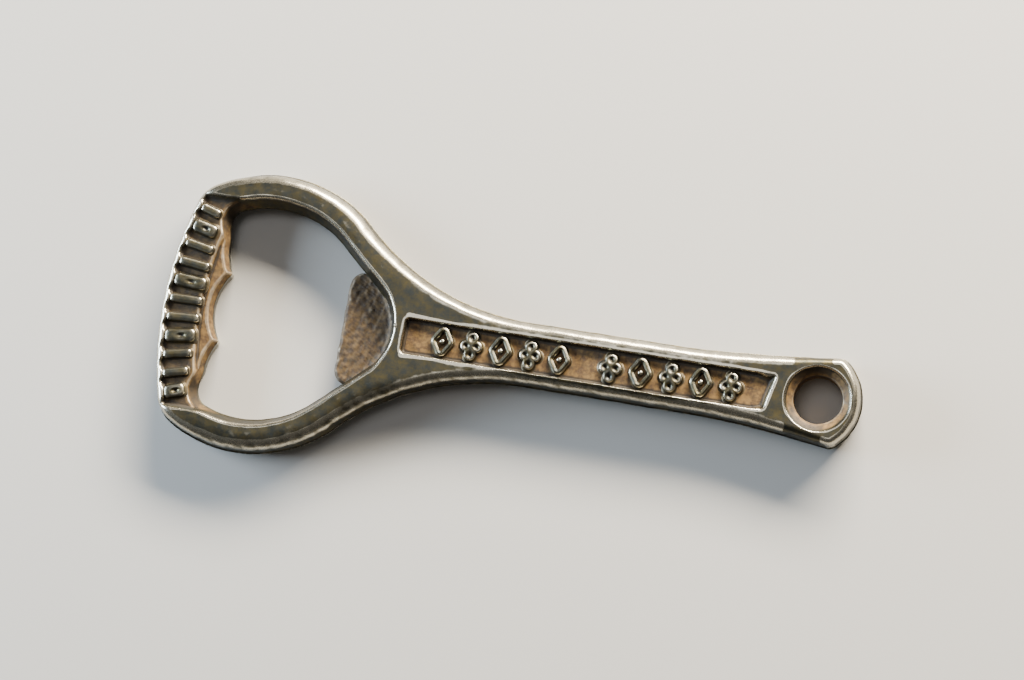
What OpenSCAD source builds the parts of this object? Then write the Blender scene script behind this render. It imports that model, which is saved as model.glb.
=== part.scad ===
// Cast one-piece bottle opener with a hanging eye.
//
// The opener lies on its back: +X runs along the handle to the hanging eye, +Y across it and +Z out of
// the front face. The origin is under the middle of its length, on the surface that it lies on.
// Every node is a region of one casting, and neighbouring regions meet face to face.

/* [Overall] */
// Length from the crossbar's outer edge to the eye's end
overall_l = 120; // [100:1:144]
// Thickness of the casting, front face to back face
thickness = 6.2; // [5.2:0.1:7.4]

/* [Loop] */
// Outer radius of the round loop
loop_r = 24.1; // [21.5:0.1:29]
// Distance from the crossbar's outer edge to the loop's centre
loop_depth = 17.4; // [15.5:0.1:20.5]
// Radius of the window at its rim
window_r = 19.4; // [17.7:0.1:20.2]
// Radius of the window's narrow end, over the lip
nose_r = 10; // [8.3:0.1:12]
// Distance from the loop's centre to the centre of the window's narrow end
nose_offset = 14.2; // [12.6:0.1:16]
// Radius of the hollow between the loop and the handle
neck_r = 44.5; // [36:0.5:54]

/* [Crossbar] */
// Radius of the crossbar's outer edge
bar_r = 58; // [48:1:70]
// Radius of the outer corners
bar_corner_r = 6.5; // [5.25:0.25:7.5]
// Width of the crossbar, outer edge to window
bar_w = 8.1; // [7.4:0.1:9.8]
// Radius of the window's corners at the crossbar
window_corner_r = 4; // [3.3:0.1:4.8]
// Depth of the low ledge beside the window, below the front face
ledge_depth = 1.6; // [1.3:0.1:2]
// Length of the ledge across the opener
ledge_l = 27; // [22:1:28]
// Depth of the ribbed band below the front face
band_depth = 0.8; // [0.6:0.1:1]
// Width of the rim outside the ribbed band
band_rim_w = 1.9; // [1.6:0.1:2.1]
// Width of the ribbed band
band_w = 5.7; // [5.5:0.1:5.8]
// Length of the ribbed band across the opener
band_l = 37; // [31:1:39]

/* [Teeth] */
// Distance between the two cap teeth
tooth_gap = 11.8; // [9.8:0.2:14.2]
// How far a tooth stands into the window
tooth_h = 1.9; // [1.4:0.1:2.3]
// Width of a tooth at its root
tooth_w = 8.4; // [7:0.2:10]
// Width of a tooth's tip
tooth_tip_w = 0.8; // [0.6:0.1:1]
// How far the teeth stop below the ledge
tooth_step = 0.4; // [0.3:0.05:0.5]

/* [Lip] */
// Distance from the crossbar's inner edge to the lip's edge
lip_gap = 23.6; // [20.4:0.2:24.6]
// Length of the lip's straight edge
lip_edge_w = 14.6; // [12:0.2:17]
// Width of the lip's root
lip_root_w = 19.2; // [17.2:0.2:21]
// Thickness of the lip, from the back face
lip_t = 2.8; // [2.3:0.1:3.3]

/* [Handle] */
// Width of the handle at its waist
waist_w = 10.9; // [9.3:0.1:13.1]
// Where the handle starts to flare, from the opener's middle
flare_start = 28; // [24:1:32]
// Radius of the flare
flare_r = 170; // [140:2:205]
// Depth of the recessed panel on each face
panel_depth = 1; // [0.8:0.1:1.2]
// Width of the panel
panel_w = 6.2; // [5.2:0.1:7.2]
// Wall between the window's narrow end and the panel
panel_wall = 1.7; // [1.4:0.1:2.1]
// Wall between the panel and the eye's countersink
eye_wall = 1.9; // [1.6:0.1:2.3]
// Radius of the panel's corners
panel_corner_r = 0.8; // [0.6:0.1:1]
// How far the panel lies off the handle's centre line, towards +Y
panel_y = -0.35; // [-0.5:0.05:0]

/* [Eye] */
// Diameter of the hanging eye's bore
eye_d = 8; // [6.6:0.1:9.6]
// Width of the eye's countersink beyond the bore
countersink_w = 1.35; // [1.1:0.05:1.6]
// Depth of the countersink
countersink_depth = 1.2; // [1:0.1:1.5]
// Wall from the bore to the end of the handle
eye_end_wall = 3.1; // [2.6:0.1:3.8]
// Radius of the handle's end
end_r = 9.2; // [8.8:0.1:11]
// Radius of the end's corners
end_corner_r = 1.9; // [1.7:0.1:2.3]

/* [Ornament] */
// Motifs in each of the panel's two groups
group_count = 5; // [2:1:5]
// Distance from one motif to the next
motif_pitch = 5; // [4.2:0.1:5.2]
// Length of the gap between the groups, motif centre to motif centre
group_gap = 8.7; // [6:0.1:9.6]
// Height of a motif across the panel
motif_h = 5; // [4.2:0.1:5]
// Width of a motif along the panel
motif_w = 3.9; // [3.3:0.1:4]
// Width of a motif's strokes
stroke_w = 0.9; // [0.75:0.05:1]
// Height of the motifs above the panel's floor
relief_h = 0.8; // [0.6:0.05:0.95]
// Ribs on the crossbar
rib_count = 11; // [7:1:11]
// Width of a narrow rib
rib_w = 1.5; // [1.2:0.1:1.8]
// Width of a wide rib
wide_rib_w = 2.3; // [1.9:0.1:2.4]
// Length of a rib
rib_l = 5.4; // [4.4:0.1:5.5]
// Height of a rib above the band's floor
rib_h = 0.75; // [0.6:0.05:0.8]

/* [Casting] */
// Radius of the outer edges
edge_r = 1.5; // [1.2:0.1:1.8]
// Draft of the outer walls, at the parting line
draft = 0.25; // [0.2:0.05:0.3]
// Draft of the window's walls, at the parting line
window_draft = 1.2; // [1:0.1:1.4]
// Radius of the window's edges
window_edge_r = 0.5; // [0.4:0.1:0.6]

/* [Hidden] */
$fn = 64;

cut = 1;
overlap = 0.1;
half_l = overall_l / 2;
half_t = thickness / 2;
half_waist = waist_w / 2;
joint_margin_a = 3;
rib_margin_a = 2.4;
rib_rhythm = 3;
rib_edge_gap = 0.5;
petal_ratio = 2.4;
petal_wall_ratio = 0.85;
bead_ratio = 0.8;
// The slanted sides of a lozenge take more than a stroke from its width and height
lozenge_inset = [2.4, 3];

// Places along the opener
loop_x = -half_l + loop_depth;
nose_x = loop_x + nose_offset;
nose_end_x = nose_x + nose_r;
panel_x0 = nose_end_x + panel_wall;
handle_joint_x = nose_end_x + panel_wall / 2;
bar_x = -half_l + bar_w;
eye_x = half_l - eye_end_wall - eye_d / 2;
panel_x1 = eye_x - eye_d / 2 - countersink_w - eye_wall;
eye_joint_x = panel_x1 + eye_wall / 2;
lip_x = bar_x + lip_gap;
end_x = half_l - end_r;

// The hollow of the neck touches the loop and the handle's waist
neck_y = half_waist + neck_r;
neck_a = asin(neck_y / (loop_r + neck_r));
neck_x = loop_x + (loop_r + neck_r) * cos(neck_a);

// The window's straight sides touch its two arcs at this angle
side_a = acos((window_r - nose_r) / nose_offset);
arm_joint_a = max(neck_a, side_a) + joint_margin_a;

// Outer corner of the crossbar, inside both the loop's circle and the bar's own arc
bar_cx = -half_l + bar_r;
corner_span = bar_cx - loop_x;
corner_d0 = loop_r - bar_corner_r;
corner_d1 = bar_r - bar_corner_r;
corner_dx = (corner_d0 * corner_d0 - corner_d1 * corner_d1 + corner_span * corner_span) / (2 * corner_span);
corner_y = sqrt(corner_d0 * corner_d0 - corner_dx * corner_dx);
corner_x = loop_x + corner_dx;
corner_a0 = atan2(corner_y, corner_dx);
corner_a1 = atan2(corner_y, corner_x - bar_cx);

// Window corner at the crossbar
inner_x = bar_x + window_corner_r;
inner_reach = window_r - window_corner_r;
inner_y = sqrt(inner_reach * inner_reach - (inner_x - loop_x) * (inner_x - loop_x));
inner_a = atan2(inner_y, inner_x - loop_x);

// The arms end just short of the corners, where both of their walls are still round
bar_joint_a = min(inner_a, corner_a0) - joint_margin_a;

// The flare runs straight from the eye's joint to the end's corner
flare_y = half_waist + flare_r;
flare_a = asin((eye_joint_x - flare_start) / flare_r);
flare_m = tan(flare_a);
eye_joint_y = flare_y - flare_r * cos(flare_a);
end_k = eye_joint_y - flare_m * eye_joint_x - end_corner_r / cos(flare_a);
end_qa = 1 + flare_m * flare_m;
end_qb = end_k * flare_m - end_x;
end_qc = end_x * end_x + end_k * end_k - (end_r - end_corner_r) * (end_r - end_corner_r);
end_corner_x = (-end_qb + sqrt(end_qb * end_qb - end_qa * end_qc)) / end_qa;
end_corner_y = end_k + flare_m * end_corner_x;
end_corner_a = atan2(end_corner_y, end_corner_x - end_x);

// Levels of the casting's section: height, inset of an outer wall, and how far a window wall stands in
EDGE_ANGLES = [90, 60, 30, 0];
UPPER = [for (i = [len(EDGE_ANGLES) - 1:-1:0]) edge_level(EDGE_ANGLES[i])];
LEVELS = concat(
    [for (i = [len(UPPER) - 1:-1:0]) [thickness - UPPER[i][0], UPPER[i][1], UPPER[i][2]]],
    [[half_t, 0, window_draft]],
    UPPER
);

function edge_level(a) =
    let (z = thickness - edge_r + edge_r * sin(a))
    [z, draft + edge_r * (1 - cos(a)), window_wall(z - half_t)];

// How far the window's wall stands in, at a height from the parting line
function window_wall(dz) =
    let (straight = half_t - window_edge_r, over = max(0, dz - straight))
    window_draft * (1 - min(dz, straight) / straight) - over;

// A point of a circle
function polar(c, r, a) = c + r * [cos(a), sin(a)];

// An arc and a straight line as chains of points, in n steps
function arc_chain(c, r, a0, a1, n) = [for (i = [0:n]) polar(c, r, a0 + (a1 - a0) * i / n)];

function line_chain(p, q, n) = [for (i = [0:n]) p + (q - p) * i / n];

// Chains end to end: each drops its first point, which the one before it holds
function join(chains) = concat(
    [chains[0][0]],
    [for (chain = chains) for (i = [1:len(chain) - 1]) chain[i]]
);

function reversed(points) = [for (i = [len(points) - 1:-1:0]) points[i]];

function flipped(points) = [for (p = points) [p[0], -p[1]]];

// The closed outline of an edge that ends on the X axis
function outline(edge) = concat(edge, [for (p = reversed(edge)) if (p[1] > 1e-6) [p[0], -p[1]]]);

// A chain that starts on the X axis, carried on by its own mirror image
function both_sides(chain) = concat(
    reversed(flipped(chain)),
    [for (i = [1:len(chain) - 1]) chain[i]]
);

// The regions' edges at a level with outer inset o and window inset g: +Y halves that start on the X axis
function throat_inner(o, g) = join([
    arc_chain([nose_x, 0], nose_r - g, 0, side_a, 8),
    line_chain(polar([nose_x, 0], nose_r - g, side_a), polar([loop_x, 0], window_r - g, side_a), 6),
    arc_chain([loop_x, 0], window_r - g, side_a, arm_joint_a, 2),
]);

function throat_outer(o, g) =
    let (r = neck_r + o, joint_a = 270 - asin((neck_x - handle_joint_x) / r))
    let (joint = polar([neck_x, neck_y], r, joint_a))
    join([
        line_chain([handle_joint_x, 0], joint, 8),
        arc_chain([neck_x, neck_y], r, joint_a, 180 + neck_a, 6),
        arc_chain([loop_x, 0], loop_r - o, neck_a, arm_joint_a, 2),
    ]);

function crossbar_outer(o, g) = join([
    arc_chain([bar_cx, 0], bar_r - o, 180, corner_a1, 6),
    arc_chain([corner_x, corner_y], bar_corner_r - o, corner_a1, corner_a0, 5),
    arc_chain([loop_x, 0], loop_r - o, corner_a0, bar_joint_a, 3),
]);

function crossbar_inner(o, g) = join([
    line_chain([bar_x + g, 0], [bar_x + g, inner_y], 6),
    arc_chain([inner_x, inner_y], window_corner_r - g, 180, inner_a, 5),
    arc_chain([loop_x, 0], window_r - g, inner_a, bar_joint_a, 3),
]);

// The handle's +Y edge, from the throat to the eye, and the eye's round end
function shank_edge(o) =
    let (neck_end = asin((neck_x - handle_joint_x) / (neck_r + o)))
    let (flare_end = asin((eye_joint_x - flare_start) / (flare_r + o)))
    concat(
        arc_chain([neck_x, neck_y], neck_r + o, 270 - neck_end, 270, 8),
        arc_chain([flare_start, flare_y], flare_r + o, 270, 270 + flare_end, 6)
    );

function eye_edge(o) =
    let (flare_end = asin((eye_joint_x - flare_start) / (flare_r + o)))
    concat(
        [polar([flare_start, flare_y], flare_r + o, 270 + flare_end)],
        join([
            arc_chain([end_corner_x, end_corner_y], end_corner_r - o, 90 + flare_a, end_corner_a, 5),
            arc_chain([end_x, 0], end_r - o, end_corner_a, 0, 8),
        ])
    );

// A closed skin through rings of n points, clockwise from above and one above the other
module skin(rings, heights, caps) {
    n = len(rings[0]);
    last = len(rings) - 1;
    points = [for (k = [0:last], p = rings[k]) [p[0], p[1], heights[k]]];
    sides = [
        for (k = [0:last - 1], i = [0:n - 1])
            [k * n + i, k * n + (i + 1) % n, (k + 1) * n + (i + 1) % n, (k + 1) * n + i]
    ];
    bottom = [for (cap = caps) reversed(cap)];
    top = [for (cap = caps) [for (i = cap) last * n + i]];
    polyhedron(points = points, faces = concat(bottom, sides, top), convexity = 6);
}

// The skin of a strip between two edges with the same number of points
module strip_skin(edges, heights) {
    n = len(edges[0][0]);
    rings = [for (edge = edges) concat(edge[0], reversed(edge[1]))];
    skin(rings, heights, [for (i = [0:n - 2]) [i, i + 1, 2 * n - 2 - i, 2 * n - 1 - i]]);
}

// The skin of a plate whose outline bulges all the way round
module plate_skin(rings, heights) {
    skin(rings, heights, [[for (i = [0:len(rings[0]) - 1]) i]]);
}

function heights(levels) = [for (level = levels) level[0]];

// The casting's levels from the back face up to a height
function levels_below(z) = concat(
    [for (level = LEVELS) if (level[0] < z - 0.01) level],
    [[z, 0, window_wall(abs(z - half_t))]]
);

// One arm of the loop: the casting's section turned about the loop's centre
module loop_arm() {
    section = concat(
        [for (v = LEVELS) [loop_r - v[1], v[0]]],
        [for (i = [len(LEVELS) - 1:-1:0]) [window_r - LEVELS[i][2], LEVELS[i][0]]]
    );
    translate([loop_x, 0, 0])
        rotate([0, 0, arm_joint_a])
            rotate_extrude(angle = bar_joint_a - arm_joint_a, $fn = 128)
                polygon(section);
}

// The band that holds the ribs follows the outer edge; the ledge lies between it and the window
module crossbar_recesses() {
    band_r = bar_r - band_rim_w;
    band_a = asin(band_l / 2 / band_r);
    ledge_r = band_r - band_w + overlap;
    ledge_a = asin(ledge_l / 2 / ledge_r);
    ledge_end = bar_x + window_corner_r;
    translate([0, 0, thickness - band_depth])
        linear_extrude(band_depth + cut)
            polygon(concat(
                arc_chain([bar_cx, 0], band_r, 180 - band_a, 180 + band_a, 12),
                arc_chain([bar_cx, 0], band_r - band_w, 180 + band_a, 180 - band_a, 12)
            ));
    translate([0, 0, thickness - ledge_depth])
        linear_extrude(ledge_depth + cut)
            polygon(concat(
                arc_chain([bar_cx, 0], ledge_r, 180 - ledge_a, 180 + ledge_a, 9),
                [[ledge_end, -ledge_l / 2], [ledge_end, ledge_l / 2]]
            ));
}

module crossbar() {
    color("DimGray")
        difference() {
            strip_skin(
                [for (v = LEVELS) [both_sides(crossbar_outer(v[1], v[2])), both_sides(crossbar_inner(v[1], v[2]))]],
                heights(LEVELS)
            );
            crossbar_recesses();
        }
}

// How far out from the crossbar's centre a rib starts: the end ribs are shorter, so that none overhangs
// the window's straight edge
function rib_start_r(turn) = max(
    bar_r - band_rim_w - band_w / 2 - rib_l / 2,
    (bar_cx - bar_x) / cos(turn) + rib_edge_gap
);

// Ribs stand side by side along the band, each square to the crossbar's outer edge
module crossbar_ribs() {
    stop_r = bar_r - band_rim_w - band_w / 2 + rib_l / 2;
    span_a = 2 * asin(band_l / 2 / (bar_r - band_rim_w)) - 2 * rib_margin_a;
    color("Silver")
        for (i = [0:rib_count - 1])
            let (turn = span_a * (i / (rib_count - 1) - 0.5), start_r = rib_start_r(turn))
                translate([bar_cx, 0, thickness - band_depth])
                    rotate([0, 0, 180 + turn])
                        translate([(start_r + stop_r) / 2, 0, 0])
                            bar_pad(stop_r - start_r, i % rib_rhythm == 1 ? wide_rib_w : rib_w, rib_h);
}

// A raised pad with its corners cut
module bar_pad(l, w, h) {
    c = w / 4;
    linear_extrude(h)
        polygon([
            [l / 2 - c, -w / 2], [l / 2, -w / 2 + c], [l / 2, w / 2 - c], [l / 2 - c, w / 2],
            [-l / 2 + c, w / 2], [-l / 2, w / 2 - c], [-l / 2, -w / 2 + c], [-l / 2 + c, -w / 2],
        ]);
}

// A tooth's +Y flank: a hollow curve from its root on the crossbar's wall to its tip
function tooth_flank(g) =
    let (root = tooth_w / 2, reach = window_draft + tooth_h)
    [for (i = [0:5]) [bar_x + g + (reach - g) * (i / 5) ^ 2, root + (tooth_tip_w / 2 - root) * i / 5]];

module cap_tooth(side) {
    levels = levels_below(thickness - ledge_depth - tooth_step);
    color("DarkGray")
        translate([0, side * tooth_gap / 2, 0])
            strip_skin(
                [for (v = levels) [tooth_flank(v[2]), flipped(tooth_flank(v[2]))]],
                heights(levels)
            );
}

module cap_tooth_left() {
    cap_tooth(1);
}

module cap_tooth_right() {
    cap_tooth(-1);
}

module loop_arm_left() {
    color("Gray") loop_arm();
}

module loop_arm_right() {
    color("Gray") mirror([0, 1, 0]) loop_arm();
}

module throat() {
    color("Gray")
        strip_skin(
            [for (v = LEVELS) [both_sides(throat_inner(v[1], v[2])), both_sides(throat_outer(v[1], v[2]))]],
            heights(LEVELS)
        );
}

// Where the lip's side meets the window's wall: on its straight side, or else on the nose's arc
function lip_root(g) =
    let (y = lip_root_w / 2, r = nose_r - g, run = (y - r * sin(side_a)) / cos(side_a))
    run > 0 ? [nose_x + r * cos(side_a) - run * sin(side_a), y] : [nose_x + sqrt(r * r - y * y), y];

// The lip's +Y edge, from its straight edge round to the X axis
function lip_edge(g) =
    let (root = lip_root(g), reach = root[0] - lip_x, spread = root[1] - lip_edge_w / 2)
    let (nose_a = min(side_a, atan2(root[1], root[0] - nose_x)))
    concat(
        [for (a = [0:22.5:90]) [lip_x + reach * (1 - cos(a)), lip_edge_w / 2 + spread * sin(a)]],
        arc_chain([nose_x, 0], nose_r - g, nose_a * 7 / 8, 0, 7)
    );

// The lip is a tongue that widens in a round sweep to the throat's wall, level with the back face
module lifting_lip() {
    levels = levels_below(lip_t);
    color("SaddleBrown")
        plate_skin([for (v = levels) outline(lip_edge(v[2]))], heights(levels));
}

// The panel's outline, with round corners
module panel_outline() {
    y = panel_w / 2 - panel_corner_r;
    polygon(outline(concat(
        arc_chain([panel_x0 + panel_corner_r, y], panel_corner_r, 180, 90, 4),
        arc_chain([panel_x1 - panel_corner_r, y], panel_corner_r, 90, 0, 4)
    )));
}

module handle_shank() {
    color("Gray")
        difference() {
            strip_skin(
                [for (v = LEVELS) [shank_edge(v[1]), flipped(shank_edge(v[1]))]],
                heights(LEVELS)
            );
            for (z = [thickness - panel_depth, -cut])
                translate([0, panel_y, z])
                    linear_extrude(panel_depth + cut) panel_outline();
        }
}

function motif_x(i) =
    (panel_x0 + panel_x1) / 2
    + (i < group_count ? -group_gap / 2 - (group_count - 1 - i) * motif_pitch
        : group_gap / 2 + (i - group_count) * motif_pitch);

module on_panel(first) {
    for (i = [first:2:2 * group_count - 1])
        translate([motif_x(i), panel_y, thickness - panel_depth]) children();
}

module lozenge_outline(w, h) {
    polygon([[w / 2, 0], [0, h / 2], [-w / 2, 0], [0, -h / 2]]);
}

// A hollow lozenge round a bead
module panel_lozenges() {
    inset = stroke_w * lozenge_inset;
    color("Silver")
        on_panel(0) {
            linear_extrude(relief_h)
                difference() {
                    lozenge_outline(motif_w, motif_h);
                    lozenge_outline(motif_w - inset[0], motif_h - inset[1]);
                }
            cylinder(h = relief_h, d = stroke_w * bead_ratio);
        }
}

// Four round petals that run into each other, each with a small hole
module panel_rosettes() {
    petal_d = petal_ratio * stroke_w;
    hole_d = petal_d - 2 * petal_wall_ratio * stroke_w;
    color("Silver")
        on_panel(1)
            linear_extrude(relief_h)
                difference() {
                    petals(petal_d, petal_d);
                    petals(petal_d, hole_d);
                }
}

// Four circles of one diameter, placed where four petals fill a motif
module petals(petal_d, d) {
    for (a = [0:90:270])
        rotate(a)
            translate([((a % 180 == 0 ? motif_w : motif_h) - petal_d) / 2, 0])
                circle(d = d);
}

module hanging_eye() {
    color("Gray")
        difference() {
            plate_skin([for (v = LEVELS) outline(eye_edge(v[1]))], heights(LEVELS));
            translate([eye_x, 0, -cut])
                cylinder(h = thickness + 2 * cut, d = eye_d);
            for (face = [0, 1])
                translate([eye_x, 0, face * thickness])
                    rotate([face * 180, 0, 0])
                        cylinder(h = countersink_depth, d1 = eye_d + 2 * countersink_w, d2 = eye_d);
        }
}

crossbar();
crossbar_ribs();
cap_tooth_left();
cap_tooth_right();
loop_arm_left();
loop_arm_right();
throat();
lifting_lip();
handle_shank();
panel_lozenges();
panel_rosettes();
hanging_eye();
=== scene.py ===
"""Cast bottle opener: the casting's skin, its raised ornament and their worn plate."""
import math

import bmesh
import bpy
import numpy as np
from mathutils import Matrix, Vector


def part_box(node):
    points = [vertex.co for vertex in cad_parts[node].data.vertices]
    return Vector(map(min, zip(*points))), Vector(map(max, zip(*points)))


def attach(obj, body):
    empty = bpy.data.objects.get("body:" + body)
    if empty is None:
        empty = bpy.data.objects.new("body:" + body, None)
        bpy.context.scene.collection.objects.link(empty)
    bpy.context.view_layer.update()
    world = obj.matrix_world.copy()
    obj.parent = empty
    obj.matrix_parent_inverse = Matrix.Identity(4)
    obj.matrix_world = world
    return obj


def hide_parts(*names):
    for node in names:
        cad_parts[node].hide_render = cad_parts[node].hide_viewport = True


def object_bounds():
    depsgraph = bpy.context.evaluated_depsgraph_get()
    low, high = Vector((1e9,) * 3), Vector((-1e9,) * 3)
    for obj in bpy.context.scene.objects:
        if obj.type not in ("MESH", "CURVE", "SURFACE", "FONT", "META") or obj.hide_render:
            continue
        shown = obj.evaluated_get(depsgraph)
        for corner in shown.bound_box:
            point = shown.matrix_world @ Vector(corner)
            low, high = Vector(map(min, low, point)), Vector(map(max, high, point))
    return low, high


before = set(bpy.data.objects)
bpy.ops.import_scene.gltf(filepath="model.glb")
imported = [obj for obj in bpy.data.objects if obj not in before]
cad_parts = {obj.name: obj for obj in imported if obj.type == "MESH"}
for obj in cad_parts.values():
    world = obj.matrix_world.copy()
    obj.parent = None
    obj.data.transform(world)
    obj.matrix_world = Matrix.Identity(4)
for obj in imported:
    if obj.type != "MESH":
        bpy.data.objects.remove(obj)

CAD_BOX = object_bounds()

# ---------------------------------------------------------------- sizes, in millimetres
MM = 0.001


def node_box(node):
    """A CAD node's lowest and highest corners, in millimetres."""
    low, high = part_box(node)
    return np.array(low) / MM, np.array(high) / MM


HALF_L = CAD_BOX[1][0] / MM
THICK = CAD_BOX[1][2] / MM
PARTING = THICK / 2
NECK_JOINT_X = node_box("handle_shank")[0][0]
EYE_JOINT_X = node_box("hanging_eye")[0][0]
LIP_X = node_box("lifting_lip")[0][0]
LIP_TOP = node_box("lifting_lip")[1][2]

LOOP_R, LOOP_X = 24.1, -HALF_L + 17.4
WINDOW_R, NOSE_R, NOSE_X = 19.4, 10.0, LOOP_X + 14.2
NECK_R, HALF_WAIST = 44.5, 5.45
BAR_R, BAR_CORNER_R, BAR_X, BAR_CX = 58.0, 6.5, -HALF_L + 8.1, -HALF_L + 58
WINDOW_CORNER_R = 4.0
FLARE_X, FLARE_R = 28.0, 170.0
END_R, END_CORNER_R, END_X = 9.2, 1.9, HALF_L - 9.2
EYE_R, EYE_X = 4.0, HALF_L - 7.1
SINK_R, SINK_DEPTH = 5.35, 1.2

EDGE_R, STEP, DRAFT = 1.5, 0.22, 0.25
WINDOW_DRAFT, WINDOW_EDGE_R = 1.2, 0.5

PANEL_X0, PANEL_X1 = NECK_JOINT_X + 0.85, EYE_JOINT_X - 1.2
PANEL_Y, PANEL_HALF_W, PANEL_CORNER_R = -0.35, 3.1, 0.8
PANEL_DEPTH, PANEL_WALL = 1.0, 0.45


# ---------------------------------------------------------------- small maths
def smooth(low, high, x):
    """Rises smoothly from 0 at low to 1 at high."""
    t = np.clip((x - low) / (high - low), 0, 1)
    return t * t * (3 - 2 * t)


def polar(c, r, a):
    """Points at radius r and angles a, in radians, about c."""
    return np.stack([c[0] + r * np.cos(a), c[1] + r * np.sin(a)], -1)


def arc(c, r, a0, a1, n):
    return polar(c, r, np.linspace(a0, a1, n + 1))


def line(p, q, n):
    t = np.linspace(0, 1, n + 1)[:, None]
    return np.asarray(p) * (1 - t) + np.asarray(q) * t


def join(*chains):
    """Chains end to end, where each starts on the last point of the one before."""
    return np.concatenate([chains[0]] + [c[1:] for c in chains[1:]])


def both_sides(chain):
    """A chain that starts on the X axis, led up to by its own mirror image."""
    return np.concatenate([chain[:0:-1] * [1, -1], chain])


# ---------------------------------------------------------------- tangent points of the outline
NECK_Y = HALF_WAIST + NECK_R
NECK_A = math.asin(NECK_Y / (LOOP_R + NECK_R))
NECK_X = LOOP_X + (LOOP_R + NECK_R) * math.cos(NECK_A)
SIDE_A = math.acos((WINDOW_R - NOSE_R) / (NOSE_X - LOOP_X))
ARM_A0 = max(NECK_A, SIDE_A) + math.radians(3)


def between_circles(x0, r0, x1, r1):
    """The upper point that is r0 from (x0, 0) and r1 from (x1, 0)."""
    span = x1 - x0
    dx = (r0 * r0 - r1 * r1 + span * span) / (2 * span)
    return x0 + dx, math.sqrt(r0 * r0 - dx * dx)


CORNER = between_circles(LOOP_X, LOOP_R - BAR_CORNER_R, BAR_CX, BAR_R - BAR_CORNER_R)
CORNER_A0 = math.atan2(CORNER[1], CORNER[0] - LOOP_X)
CORNER_A1 = math.atan2(CORNER[1], CORNER[0] - BAR_CX)
INNER_X = BAR_X + WINDOW_CORNER_R
INNER_Y = math.sqrt((WINDOW_R - WINDOW_CORNER_R) ** 2 - (INNER_X - LOOP_X) ** 2)
INNER_A = math.atan2(INNER_Y, INNER_X - LOOP_X)
ARM_A1 = min(INNER_A, CORNER_A0) - math.radians(3)
FLARE_Y = HALF_WAIST + FLARE_R
FLARE_A = math.asin((EYE_JOINT_X - FLARE_X) / FLARE_R)


def end_corner():
    """Centre of the handle's end corner, which touches the flare's tangent and the end's arc."""
    m = math.tan(FLARE_A)
    k = FLARE_Y - FLARE_R * math.cos(FLARE_A) - m * EYE_JOINT_X - END_CORNER_R / math.cos(FLARE_A)
    a, b, c = 1 + m * m, k * m - END_X, END_X ** 2 + k * k - (END_R - END_CORNER_R) ** 2
    x = (-b + math.sqrt(b * b - a * c)) / a
    return x, k + m * x


END_CORNER = end_corner()
END_CORNER_A = math.atan2(END_CORNER[1], END_CORNER[0] - END_X)


# ---------------------------------------------------------------- levels of the casting's section
def shoulder_levels(step, edge_r):
    """(inset, height share) up a drafted outer wall and round its edge, from parting line to face."""
    half = PARTING
    wall = np.linspace(0, 1, 5)[:-1]
    a = np.linspace(0, math.pi / 2, 11)
    inset = np.concatenate([step + DRAFT * wall, step + DRAFT + edge_r * (1 - np.cos(a))])
    height = np.concatenate([wall * (half - edge_r), half - edge_r + edge_r * np.sin(a)]) / half
    return inset, height


def window_levels(lip):
    """(stand-in, height share) down a drafted window wall, from its rounded rim to the parting line."""
    half, r = PARTING, WINDOW_EDGE_R
    a = np.linspace(math.pi / 2, 0, 7)
    wall = np.linspace(0, 1, 9)[1:]
    stand = np.concatenate([-r * (1 - np.cos(a)), (WINDOW_DRAFT - lip) * wall])
    height = np.concatenate([half - r + r * np.sin(a), (half - r) * (1 - wall)]) / half
    return stand, height


FRONT_SHOULDER, BACK_SHOULDER = shoulder_levels(STEP, EDGE_R), shoulder_levels(0.0, 1.35)
FRONT_WINDOW, BACK_WINDOW = window_levels(0.1), window_levels(0.0)


# ---------------------------------------------------------------- heights of the two faces
BAND_DEPTH, BAND_RIM_W, BAND_W, BAND_HALF_L = 0.8, 1.9, 5.7, 18.5


def panel_recess(x, y):
    """Depth of the panel: a rounded rectangle with sloping walls, whose far end leans a little."""
    y = y - PANEL_Y
    lean = 0.22 * y * smooth(38, 44, x)
    mid, half = (PANEL_X0 + PANEL_X1) / 2, (PANEL_X1 - PANEL_X0) / 2
    qx = np.abs(x - lean - mid) - half + PANEL_CORNER_R
    qy = np.abs(y) - PANEL_HALF_W + PANEL_CORNER_R
    outside = np.hypot(np.maximum(qx, 0), np.maximum(qy, 0))
    away = outside + np.minimum(np.maximum(qx, qy), 0) - PANEL_CORNER_R
    wall = PANEL_WALL + 0.7 * smooth(PANEL_X1 - 3.0, PANEL_X1 - 1.0, x)
    return PANEL_DEPTH * smooth(-0.05, wall, -away)


def inside_edge(x, y):
    """Distance in from the outline's round part: the loop, then the neck and the handle's flare."""
    y = np.abs(y)
    loop = LOOP_R - np.hypot(x - LOOP_X, y)
    neck = np.hypot(np.minimum(x - NECK_X, 0), y - NECK_Y) - NECK_R
    flare = np.hypot(np.maximum(x - FLARE_X, 0), y - FLARE_Y) - FLARE_R
    handle = np.where(x < (NECK_X + FLARE_X) / 2, neck, flare)
    return np.where(np.arctan2(y, x - LOOP_X) > NECK_A, loop, handle)


# How the faces roll off: (start, end) stations along X, and drops and widths, which shrink on the handle
SLENDER_X, ROLL_START_X = (-24, -6), (-54, -47)
ROLL_DROP, ROLL_DROP_LESS, ROLL_W, ROLL_W_LESS = 0.85, 0.35, 3.4, 1.0
WINDOW_ROLL_START_X, WINDOW_ROLL_END_X = (-47, -43), (-28, -22)
WINDOW_ROLL_IN, WINDOW_ROLL_W, WINDOW_ROLL_DROP = 2.9, 1.8, 0.12


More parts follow.
